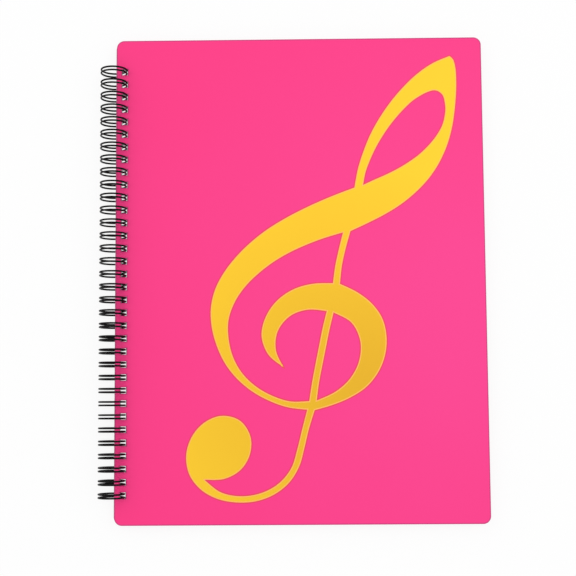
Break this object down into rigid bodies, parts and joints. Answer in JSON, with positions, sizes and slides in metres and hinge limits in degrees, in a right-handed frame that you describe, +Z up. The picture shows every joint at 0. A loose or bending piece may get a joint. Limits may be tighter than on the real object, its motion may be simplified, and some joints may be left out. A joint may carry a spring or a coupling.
{
  "type": "wire-bound music folder",
  "caption": "Pink plastic folder of clear pockets for sheet music, with a foil treble clef on the front and a black twin-loop wire spine on which both covers turn.",
  "frame": {"origin": "middle of the folder's bounding box, at the table it lies on", "axes": "+X across the folder from the wire spine to the open edge, +Y along the spine to the top of the folder, +Z up out of the front cover"},
  "size_m": [0.2535, 0.32, 0.0177],
  "materials": {
    "cover_plastic": "satin, fine grained",
    "black_wire": "gloss coated",
    "pocket_film": "smooth, slightly hazy",
    "gold_foil": "satin stamped foil"
  },
  "bodies": {
    "back": {"back_cover": "cover_plastic", "binding_wire": "black_wire"},
    "pages": {"page_block": "pocket_film"},
    "front": {"front_cover": "cover_plastic", "clef_foil": "gold_foil"}
  },
  "joints": [
    {"name": "pages_turn", "type": "hinge", "parent": "back", "child": "pages", "pos_m": [-0.11781, 0, 0.00895], "axis": [0, -1, 0], "range_deg": [0, 180]},
    {"name": "front_cover_turn", "type": "hinge", "parent": "pages", "child": "front", "pos_m": [-0.11781, 0, 0.00895], "axis": [0, -1, 0], "range_deg": [0, 180]}
  ]
}
